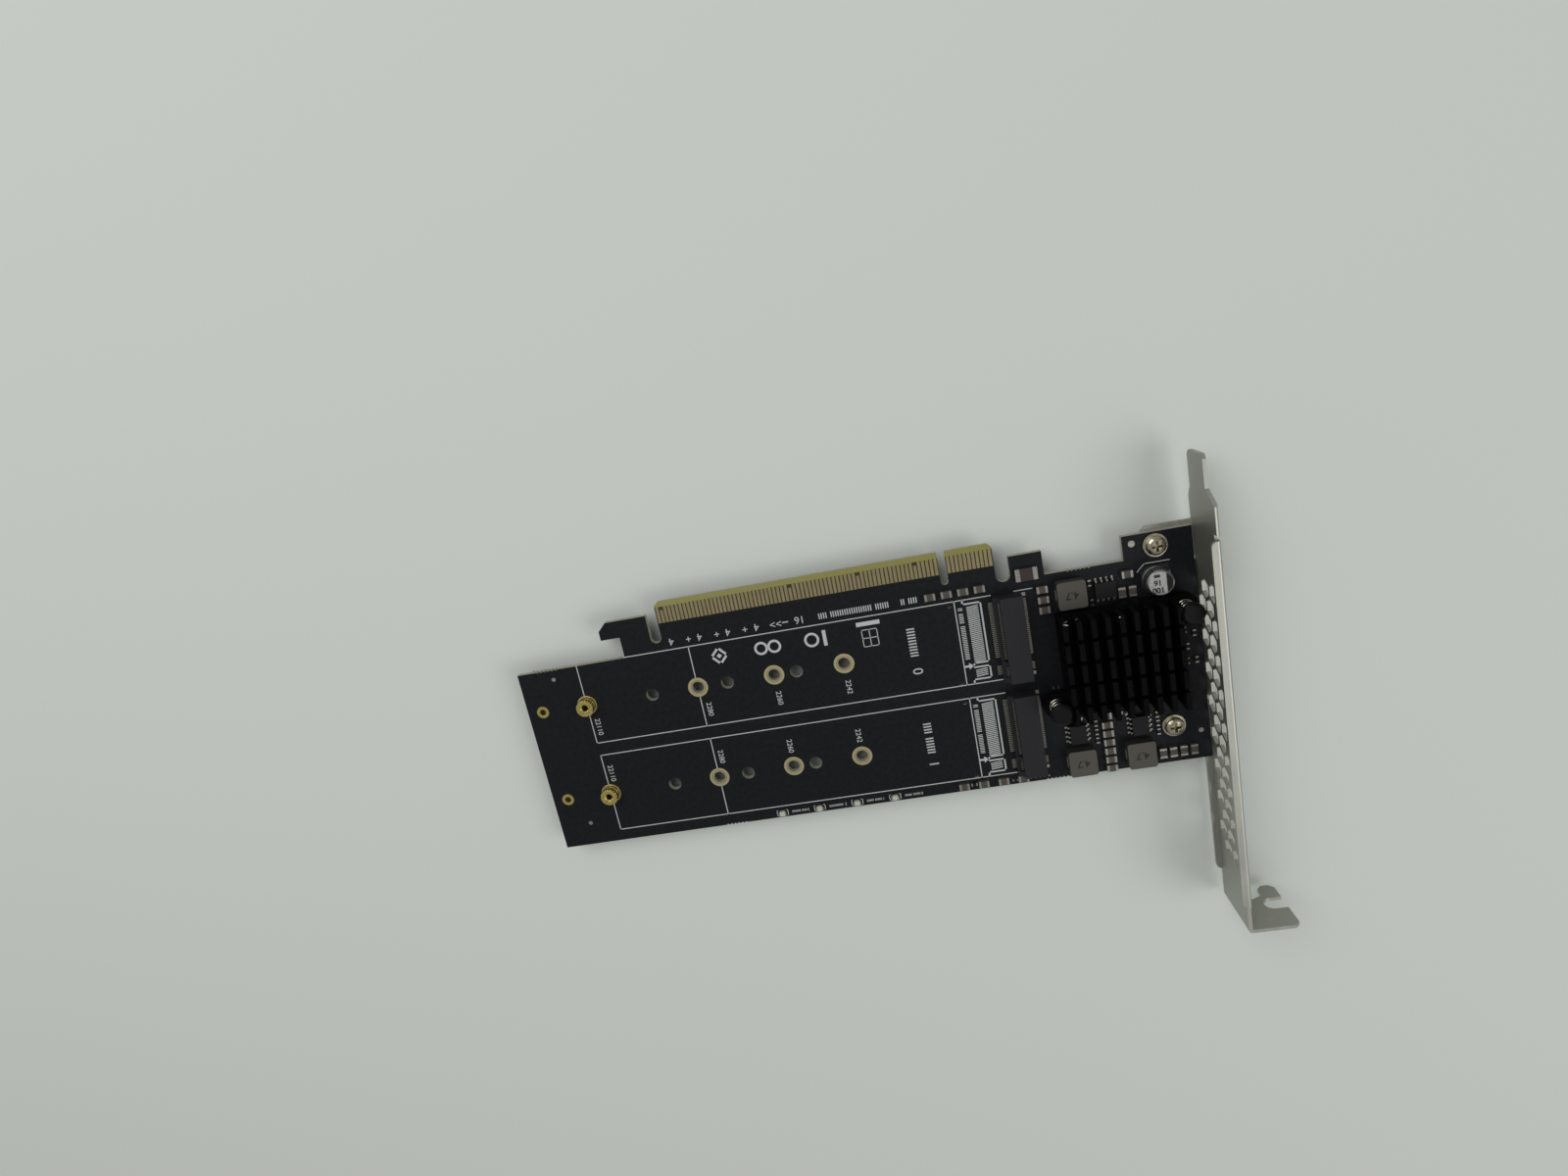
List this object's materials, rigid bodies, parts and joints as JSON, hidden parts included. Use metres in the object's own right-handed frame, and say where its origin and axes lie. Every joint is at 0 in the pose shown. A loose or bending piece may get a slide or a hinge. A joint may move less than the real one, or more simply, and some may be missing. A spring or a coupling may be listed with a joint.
{
  "type": "nvme adapter card",
  "caption": "Full-height expansion card that carries M.2 modules in sockets on both faces, with a finned heatsink, gold edge contacts and a vented slot bracket.",
  "frame": {"origin": "middle of the connector key slot, on the tip line of the gold edge contacts, on the component face", "axes": "+X along the board towards the slot bracket, +Y out of the gold edge contacts, +Z out of the component face"},
  "size_m": [0.1833, 0.12, 0.0201],
  "materials": {
    "board_mask": "black solder mask over glass-epoxy laminate, satin",
    "gold_plating": "hard gold plating on copper, bright",
    "tinned_metal": "tinned solder ends and leads, bright",
    "socket_plastic": "moulded dark grey high-temperature plastic, matt",
    "bracket_steel": "nickel-plated sheet steel, satin",
    "screw_steel": "zinc-plated steel, bright",
    "standoff_brass": "turned brass, tinned, satin",
    "sink_aluminium": "black anodised aluminium, matt",
    "pin_plastic": "moulded black nylon, matt",
    "spring_steel": "spring wire, bright",
    "chip_plastic": "moulded black epoxy, matt",
    "thermal_pad": "soft grey thermal pad, matt",
    "coil_composite": "pressed grey iron-powder composite, matt",
    "can_aluminium": "bare drawn aluminium, satin",
    "capacitor_ceramic": "fired tan ceramic, matt",
    "resistor_film": "black glazed resistor body, satin",
    "light_lens": "clear lens over a pale phosphor, glossy",
    "fuse_polymer": "dark red-brown polymer body, glossy"
  },
  "bodies": {
    "root": {"back_edge_contacts": "gold_plating", "back_socket_1_anchors": "tinned_metal", "back_socket_1_housing": "socket_plastic", "back_socket_1_lower_contacts": "gold_plating", "back_socket_1_upper_contacts": "gold_plating", "back_socket_2_anchors": "tinned_metal", "back_socket_2_housing": "socket_plastic", "back_socket_2_lower_contacts": "gold_plating", "back_socket_2_upper_contacts": "gold_plating", "back_standoffs": "standoff_brass", "bracket": "bracket_steel", "bracket_screws": "screw_steel", "capacitor_base": "socket_plastic", "capacitor_can": "can_aluminium", "ceramic_capacitor_ends": "tinned_metal", "ceramic_capacitors": "capacitor_ceramic", "chip_resistor_ends": "tinned_metal", "chip_resistors": "resistor_film", "circuit_board": "board_mask", "driver_chip_1": "chip_plastic", "driver_chip_1_leads": "tinned_metal", "driver_chip_2": "chip_plastic", "driver_chip_2_leads": "tinned_metal", "driver_chip_3": "chip_plastic", "driver_chip_3_leads": "tinned_metal", "front_edge_contacts": "gold_plating", "front_socket_1_anchors": "tinned_metal", "front_socket_1_housing": "socket_plastic", "front_socket_1_lower_contacts": "gold_plating", "front_socket_1_upper_contacts": "gold_plating", "front_socket_2_anchors": "tinned_metal", "front_socket_2_housing": "socket_plastic", "front_socket_2_lower_contacts": "gold_plating", "front_socket_2_upper_contacts": "gold_plating", "front_standoffs": "standoff_brass", "heatsink": "sink_aluminium", "inductor_1": "coil_composite", "inductor_2": "coil_composite", "inductor_3": "coil_composite", "inductor_terminals": "tinned_metal", "push_pin_springs": "spring_steel", "push_pins": "pin_plastic", "resettable_fuse": "fuse_polymer", "resettable_fuse_ends": "tinned_metal", "status_light_ends": "tinned_metal", "status_lights": "light_lens", "switch_chip": "chip_plastic", "thermal_pad": "thermal_pad"}
  },
  "joints": []
}
